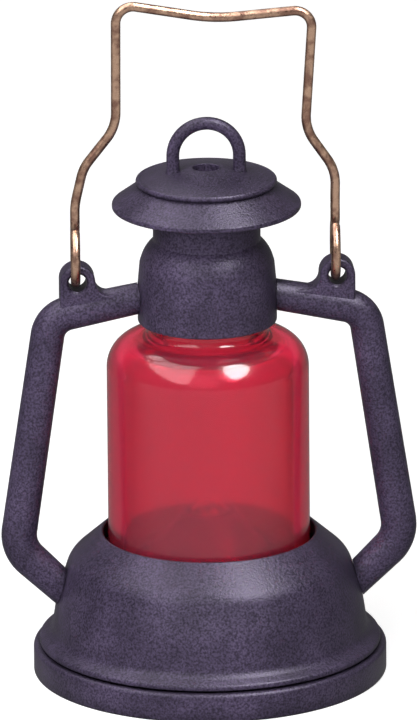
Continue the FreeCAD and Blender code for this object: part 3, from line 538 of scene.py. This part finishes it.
def base_shell_outline(b):
    """Flange, drawn-in wall, rounded shoulder and opening, closed along the inside of the wall."""
    slope = math.atan2(b.base_height - b.shoulder_height, b.shoulder_radius - b.opening_radius)
    edge_depth = b.shell_wall / math.cos(slope)
    return rounded([
        (b.skirt_radius, b.shell_bottom, 0), (b.flange_radius, b.shell_bottom, b.flange_under),
        (b.flange_radius, b.shell_bottom + b.flange_thickness, b.flange_rounding),
        (b.wall_foot_radius, b.wall_foot_height, b.wall_foot_rounding),
        (b.waist_radius, b.waist_height, b.waist_rounding),
        (b.shoulder_radius, b.shoulder_height, b.shoulder_rounding),
        (b.opening_radius, b.base_height, b.opening_rounding),
        (b.opening_radius, b.base_height - edge_depth, 0),
        (b.shoulder_radius - b.shell_wall, b.shoulder_height - b.shoulder_drop, b.shoulder_inside),
        (b.waist_radius - b.shell_wall, b.waist_height, 0),
        (b.skirt_radius, b.wall_foot_height + b.shell_wall, 0),
    ], closed=True)


def globe_outline(g):
    """Tube with a rounded shoulder and a neck, outside and inside."""
    bore = g.radius - g.wall
    neck_bore = g.neck_radius - g.neck_wall
    return rounded([
        (bore, g.foot, g.bore_rounding), (g.radius, g.foot, g.edge_rounding), (g.radius, g.top, g.shoulder),
        (g.neck_radius, g.top, g.neck_fillet), (g.neck_radius, g.neck_top, g.edge_rounding),
        (neck_bore, g.neck_top, g.edge_rounding), (neck_bore, g.top - g.wall, g.neck_fillet),
        (bore, g.top - g.wall, g.shoulder - g.wall),
    ], closed=True, steps=17)


def bell_outline(c):
    """Drum with a crease, a domed shoulder and the chimney, outside and inside."""
    inner = c.bell_radius - c.bell_wall
    return rounded([
        (c.socket_radius, c.bell_bottom, c.socket_edge), (c.bell_radius, c.bell_bottom, c.bell_edge),
        (c.bell_radius, c.drum_top, c.drum_rounding), (c.crease_radius, c.crease_height, c.bell_edge),
        (c.dome_radius, c.dome_height, c.dome_rounding), (c.neck_radius, c.neck_foot, c.neck_fillet),
        (c.neck_radius, c.neck_top, 0), (c.bore, c.neck_top, 0), (c.bore, c.crease_height, 0),
        (inner, c.drum_top, 0), (inner, c.socket_top, 0), (c.socket_radius, c.socket_top, 0),
    ], closed=True)


def cap_outline(c):
    """Crown with a vent, brim and spigot."""
    bore = c.spigot_radius - c.spigot_wall
    brim_bottom = c.brim_height - c.brim_edge
    spigot_end = c.seat - c.spigot_length
    return rounded([
        (c.vent_radius, c.crown_top, c.vent_rounding), (c.crown_radius, c.crown_edge, c.crown_rounding),
        (c.crown_radius, c.crown_foot, c.crown_rounding), (c.brim_radius, c.brim_height, c.brim_rounding),
        (c.brim_radius, brim_bottom, c.brim_under), (c.brim_radius - c.brim_edge, brim_bottom, 0),
        (c.crown_radius, c.seat, 0), (c.spigot_radius, c.seat, 0), (c.spigot_radius, spigot_end, 0),
        (bore, spigot_end, 0), (bore, c.crown_edge - c.crown_wall / 2, 0),
        (c.vent_radius, c.crown_top - c.crown_wall, 0),
    ], closed=True)


def bead_surface(c, segments, around=20):
    """Torus: a circle of the bead's radius, standing on the foot of the crown, turned about Z."""
    t = np.linspace(0, 2 * np.pi, around, endpoint=False)
    radius = c.crown_radius + c.bead_radius * np.cos(t)
    height = c.crown_foot + c.bead_radius * (1 + np.sin(t))
    return revolved(np.stack([radius, height], -1), segments)


def loop_surface(c, leg_points=8, arch_points=33):
    """Tube on an arch of two legs and a half circle, with radius r + flare (1 - s)^2 over the feet."""
    foot = c.loop_root - c.crown_wall / 2
    spring = c.loop_root + c.loop_leg
    legs = np.linspace(foot, spring, leg_points, endpoint=False)
    angle = np.linspace(np.pi, 0, arch_points)
    arch = np.stack([c.loop_radius * np.cos(angle), spring + c.loop_radius * np.sin(angle)], -1)
    left = np.stack([0 * legs - c.loop_radius, legs], -1)
    right = np.stack([0 * legs + c.loop_radius, legs[::-1]], -1)
    line = np.vstack([left, arch, right])
    rise = np.clip((line[:, 1] - foot) / (c.loop_root + c.loop_flare - foot), 0, 1)
    radius = c.loop_bar / 2 + (c.loop_foot - c.loop_bar / 2) * (1 - rise) ** 2
    path = in_front_plane(line)
    return closed_ends(tube(path, radius, np.array([[0.0, 1.0, 0.0]])), path, (0.0,))


def hook_rise(b):
    """Height above the hinge line where a hook's bend starts: the root of (R + p)^2 - p^2."""
    return math.sqrt((b.hook_radius + b.hook_neck) ** 2 - b.hook_neck ** 2)


def hook_path(b, x, bend_points=13, ring_points=65):
    """Centre line of a hook, from its leg to its free end.

    A bend of radius p carries the leg back onto the ring of radius R; both lie in the plane of Z and
    (sin w, cos w, 0), with w the twist.
    """
    rise = hook_rise(b)
    join = math.atan2(rise, b.hook_neck)
    bend = np.pi + join * np.linspace(0, 1, bend_points)
    ring = np.linspace(join, b.hook_end - 2 * np.pi, ring_points)[1:]
    along = np.append(b.hook_neck * (1 + np.cos(bend)), b.hook_radius * np.cos(ring))
    height = np.append(rise + b.hook_neck * np.sin(bend), b.hook_radius * np.sin(ring))
    aside = along * math.sin(b.hook_twist)
    return np.stack([x + aside, along * math.cos(b.hook_twist), b.hinge_z + height], -1)


def bail_line(b):
    """Legs and bow of the bail as points (x, z), with the bow turned by the lean about the hinge line."""
    cos, sin = math.cos(b.lean), math.sin(b.lean)
    fall = b.top_x * math.tan(b.bar_tilt)
    rise = hook_rise(b)
    legs = []
    bows = []
    for side in (-1, 1):
        leg_x = side * b.leg_x - b.shift
        legs.append([(leg_x, rise, 0), (leg_x, b.leg_height, b.leg_bend)])
        bows.append([(side * b.knee_x, b.knee_height, b.knee_bend),
                     (side * b.neck_x, b.neck_height, b.knee_bend),
                     (side * b.top_x, b.top_height - side * fall, b.top_bend)])
    middle = (0, b.middle_height, b.middle_bend)
    bow = np.array(bows[0] + [middle] + bows[1][::-1])
    bow[:, :2] = np.stack([bow[:, 0] * cos + bow[:, 1] * sin, bow[:, 1] * cos - bow[:, 0] * sin], -1)
    line = rounded(np.vstack([legs[0], bow, legs[1][::-1]]), steps=15)
    line[:, 1] += b.hinge_z
    return line


def bail_surface(b, leg_points=14, end_share=0.85):
    """Tube on two hooks, two legs and the bent bow between them, closed by flat ends with a small round.

    The tube's normal turns from the hooks' plane to Y along the legs.
    """
    line = bail_line(b)
    share = np.linspace(0, 1, leg_points)[:, None]
    left_leg = in_front_plane(line[:1] * (1 - share) + line[1:2] * share)
    right_leg = in_front_plane(line[-2:-1] * (1 - share) + line[-1:] * share)
    left_hook = hook_path(b, -b.leg_x - b.shift)[::-1]
    right_hook = hook_path(b, b.leg_x - b.shift)
    bow = in_front_plane(line[2:-2])
    path = np.vstack([left_hook[:-1], left_leg, bow, right_leg, right_hook[1:]])
    quarter = np.pi / 2
    leg_turn = (quarter + b.hook_twist) * share[:, 0]
    facing = np.concatenate([
        np.full(len(left_hook) - 1, -b.hook_twist), leg_turn - b.hook_twist, np.full(len(bow), quarter),
        quarter - leg_turn, np.full(len(right_hook) - 1, -b.hook_twist),
    ])
    normal = np.stack([np.cos(facing), np.sin(facing), 0 * facing], -1)
    return closed_ends(tube(path, b.wire / 2, normal), path, (0.0, end_share))


class LANTERN_OT_frame(Operator):
    """Build the black base, cover, arms, bell and cap"""

    bl_idname = "lantern.frame"
    bl_label = "Build Black Pieces"

    def execute(self, context):
        scene = context.scene
        base, chimney = scene.lantern_base, scene.lantern_chimney
        around = scene.lantern_studio.segments
        plastic = moulded_plastic("moulded_black", scene.lantern_look)
        cover = [(revolved(base_cover_outline(base), around), False)]
        shell = [(revolved(base_shell_outline(base), around), True)]
        bell = [(revolved(bell_outline(chimney), around), True)]
        cap = [(revolved(cap_outline(chimney), around), True), (bead_surface(chimney, around), True),
               (loop_surface(chimney), False)]
        add_piece("foot_cover", cover, "cover", "base_cover", plastic)
        add_piece("lower_base", shell, "frame", "base_shell", plastic)
        add_piece("bell", bell, "frame", "chimney_bell", plastic)
        add_piece("cap", cap, "frame", "chimney_cap", plastic)
        for arm in ("left_side_arm", "right_side_arm"):
            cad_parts[arm].material_slots[0].material = plastic
        return {"FINISHED"}


class LANTERN_OT_globe(Operator):
    """Build the red globe"""

    bl_idname = "lantern.globe"
    bl_label = "Build Globe"

    def execute(self, context):
        scene = context.scene
        surface = revolved(globe_outline(scene.lantern_globe), scene.lantern_studio.segments)
        plastic = red_clear("clear_red", scene.lantern_look)
        add_piece("red_globe", [(surface, True)], "frame", "globe", plastic)
        return {"FINISHED"}


class LANTERN_OT_bail(Operator):
    """Build the wire bail"""

    bl_idname = "lantern.bail"
    bl_label = "Build Bail"

    def execute(self, context):
        scene = context.scene
        surface = bail_surface(scene.lantern_bail)
        brass = worn_brass("worn_brass", scene.lantern_look)
        add_piece("wire_bail", [(surface, False)], "bail", "bail", brass)
        return {"FINISHED"}


class LANTERN_OT_lamp(Operator):
    """Give the lamp, battery and contact pieces their materials"""

    bl_idname = "lantern.lamp"
    bl_label = "Finish Inner Pieces"

    def execute(self, context):
        look = context.scene.lantern_look
        # Painted shade: the inner pieces get a darkened copy of the black plastic, for the shade inside the
        # globe.
        inner = moulded_plastic("inner_black", look, look.inner_painted_shade)
        brass = sheet_metal("contact_brass", (0.72, 0.55, 0.27), (0.55, 0.39, 0.17), 0.32)
        steel = sheet_metal("plated_steel", (0.66, 0.66, 0.65), (0.48, 0.48, 0.48), 0.3)
        solder = sheet_metal("dull_solder", (0.52, 0.52, 0.54), (0.36, 0.36, 0.38), 0.5)
        filament = sheet_metal("dark_wire", (0.20, 0.19, 0.18), (0.10, 0.10, 0.10), 0.4)
        glass = lamp_glass("lamp_glass")
        finishes = {
            "burner_cone": inner, "burner_deck": inner, "battery_tube": inner, "bulb_insulator": inner,
            "centre_contact": brass, "return_strip": brass, "contact_leaf": brass, "leaf_rivet": brass,
            "lamp_socket": brass, "bulb_cap": brass, "lower_cell": steel, "upper_cell": steel,
            "deck_screws": steel, "bulb_tip": solder, "bulb_filament": filament, "bulb_glass": glass,
        }
        for node, material in finishes.items():
            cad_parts[node].material_slots[0].material = material
        return {"FINISHED"}


def add_floor(studio):
    """Wide pale floor that shows as white with a faint shadow, and less bright in reflections."""
    mesh = bpy.data.meshes.new("studio_floor")
    corners = [(x * FLOOR_HALF, y * FLOOR_HALF, 0) for x, y in ((-1, -1), (1, -1), (1, 1), (-1, 1))]
    mesh.from_pydata(corners, [], [(0, 1, 2, 3)])
    material = bpy.data.materials.new("pale_floor")
    material.use_nodes = True
    tree = material.node_tree
    tree.nodes.clear()
    path = tree.nodes.new("ShaderNodeLightPath").outputs
    diffuse = tree.nodes.new("ShaderNodeBsdfDiffuse")
    diffuse.inputs["Color"].default_value = (0.45, 0.45, 0.45, 1.0)
    white = tree.nodes.new("ShaderNodeEmission")
    clear = add_sum(tree, path["Is Camera Ray"], path["Is Transmission Ray"], 1.0)
    strength = add_range(tree, clear, low=0.0, high=studio.floor_white, start=0.0, end=1.0)
    tree.links.new(strength.outputs["Result"], white.inputs["Strength"])
    lit = tree.nodes.new("ShaderNodeAddShader")
    tree.links.new(diffuse.outputs["BSDF"], lit.inputs[0])
    tree.links.new(white.outputs["Emission"], lit.inputs[1])
    place = tree.nodes.new("ShaderNodeTexCoord")
    axes = tree.nodes.new("ShaderNodeSeparateXYZ")
    tree.links.new(place.outputs["Object"], axes.inputs["Vector"])
    fade = add_range(tree, axes.outputs["Y"], low=studio.floor_shine, high=studio.back_shine,
                     start=studio.fade_front, end=studio.fade_back)
    through = tree.nodes.new("ShaderNodeMix")
    through.inputs["B"].default_value = studio.floor_through
    tree.links.new(path["Is Transmission Ray"], through.inputs["Factor"])
    tree.links.new(fade.outputs["Result"], through.inputs["A"])
    shine = tree.nodes.new("ShaderNodeEmission")
    tree.links.new(through.outputs["Result"], shine.inputs["Strength"])
    mix = tree.nodes.new("ShaderNodeMixShader")
    output = tree.nodes.new("ShaderNodeOutputMaterial")
    tree.links.new(path["Is Glossy Ray"], mix.inputs["Fac"])
    tree.links.new(lit.outputs["Shader"], mix.inputs[1])
    tree.links.new(shine.outputs["Emission"], mix.inputs[2])
    tree.links.new(mix.outputs["Shader"], output.inputs["Surface"])
    mesh.materials.append(material)
    floor = bpy.data.objects.new("studio_floor", mesh)
    bpy.context.scene.collection.objects.link(floor)


def add_world(scene, studio):
    """White where the camera or clear plastic sees it, dim grey for reflections and fill light."""
    world = bpy.data.worlds.new("studio_world")
    world.use_nodes = True
    tree = world.node_tree
    back = tree.nodes["Background"]
    path = tree.nodes.new("ShaderNodeLightPath").outputs
    clear = add_sum(tree, path["Is Camera Ray"], path["Is Transmission Ray"], 1.0)
    strength = add_range(tree, clear, low=studio.fill, high=1.0, start=0.0, end=1.0)
    shine = add_sum(tree, strength.outputs["Result"], path["Is Glossy Ray"], studio.sky_shine)
    back.inputs["Color"].default_value = (1.0, 1.0, 1.0, 1.0)
    tree.links.new(shine, back.inputs["Strength"])
    scene.world = world


def add_light(name, shape, direction, width, height, power, shows_in, spin=0.0):
    """Soft lamp that faces the lantern, turned by spin degrees and seen on surfaces or in reflections."""
    data = bpy.data.lights.new(name, "AREA")
    data.shape = shape
    data.size = width
    data.size_y = height
    data.energy = power
    light = bpy.data.objects.new(name, data)
    light.visible_diffuse = shows_in == "surfaces"
    light.visible_glossy = shows_in == "reflections"
    towards = Vector(direction).normalized()
    facing = towards.to_track_quat("Z", "Y").to_matrix() @ Matrix.Rotation(math.radians(spin), 3, "Z")
    light.matrix_world = Matrix.Translation(LIGHT_AIM + towards * LIGHT_DISTANCE) @ facing.to_4x4()
    bpy.context.scene.collection.objects.link(light)


def add_camera(scene, studio):
    """Long lens at the photograph's view, moved sideways so that the target lands on its pixel."""
    level_share = math.cos(studio.elevation)
    back = Vector((math.sin(studio.azimuth) * level_share, -math.cos(studio.azimuth) * level_share,
                   math.sin(studio.elevation)))
    level = Vector((0, 0, 1)).cross(back).normalized()
    upright = back.cross(level)
    right = level * math.cos(studio.roll) + upright * math.sin(studio.roll)
    up = upright * math.cos(studio.roll) - level * math.sin(studio.roll)
    aside = (PHOTO_WIDTH / 2 - studio.target_column) / studio.pixels_per_metre
    above = (studio.target_row - PHOTO_HEIGHT / 2) / studio.pixels_per_metre
    data = bpy.data.cameras.new("photo_camera")
    data.sensor_fit = "VERTICAL"
    data.sensor_height = SENSOR_HEIGHT
    data.lens = studio.pixels_per_metre * studio.distance * SENSOR_HEIGHT / PHOTO_HEIGHT
    data.clip_end = 100.0
    camera = bpy.data.objects.new("photo_camera", data)
    place = Vector((0, 0, studio.target_z)) + back * studio.distance + right * aside + up * above
    turned = Matrix((right, up, back)).transposed().to_4x4()
    camera.matrix_world = Matrix.Translation(place) @ turned
    scene.collection.objects.link(camera)
    scene.camera = camera


class LANTERN_OT_stage(Operator):
    """Set up the floor, world, lights and camera"""

    bl_idname = "lantern.stage"
    bl_label = "Set Up Studio"

    def execute(self, context):
        scene = context.scene
        scene.view_settings.view_transform = "Standard"
        studio = scene.lantern_studio
        add_floor(studio)
        add_world(scene, studio)
        add_light("key_softbox", "RECTANGLE", direction=(-0.30, -0.60, 0.74), width=0.8, height=0.8,
                  power=6.2, shows_in="surfaces")
        add_light("front_fill", "RECTANGLE", direction=(-0.20, -0.90, 0.38), width=0.5, height=0.5,
                  power=2.3, shows_in="surfaces")
        add_light("left_highlight", "ELLIPSE", direction=(-0.46, -0.08, 0.88), width=1.9, height=0.5,
                  power=10.0, shows_in="reflections", spin=-30.0)
        add_light("right_highlight", "ELLIPSE", direction=(0.39, -0.36, 0.84), width=0.28, height=0.75,
                  power=13.0, shows_in="reflections", spin=-31.0)
        add_camera(scene, studio)
        return {"FINISHED"}


class LANTERN_PT_panel(Panel):
    """Buttons for the lantern's pieces"""

    bl_label = "Lantern"
    bl_idname = "LANTERN_PT_panel"
    bl_space_type = "VIEW_3D"
    bl_region_type = "UI"
    bl_category = "Lantern"

    def draw(self, context):
        layout = self.layout
        for operator in OPERATORS:
            layout.operator(operator.bl_idname)


GROUPS = {
    "lantern_base": LanternBase, "lantern_globe": LanternGlobe, "lantern_chimney": LanternChimney,
    "lantern_bail": LanternBail, "lantern_look": LanternLook, "lantern_studio": LanternStudio,
}
OPERATORS = (LANTERN_OT_stage, LANTERN_OT_frame, LANTERN_OT_globe, LANTERN_OT_bail, LANTERN_OT_lamp)


def register():
    """Register the property groups, the operators and the panel."""
    for name, group in GROUPS.items():
        bpy.utils.register_class(group)
        setattr(bpy.types.Scene, name, PointerProperty(type=group))
    for operator in OPERATORS:
        bpy.utils.register_class(operator)
    bpy.utils.register_class(LANTERN_PT_panel)


def unregister():
    """Take everything that register added out again."""
    bpy.utils.unregister_class(LANTERN_PT_panel)
    for operator in reversed(OPERATORS):
        bpy.utils.unregister_class(operator)
    for name, group in reversed(GROUPS.items()):
        delattr(bpy.types.Scene, name)
        bpy.utils.unregister_class(group)


def main():
    """Register the tools, set up the studio and build all the lantern's pieces."""
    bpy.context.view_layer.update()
    register()
    bpy.ops.lantern.stage()
    bpy.ops.lantern.frame()
    bpy.ops.lantern.globe()
    bpy.ops.lantern.bail()
    bpy.ops.lantern.lamp()


if __name__ == "__main__":
    main()
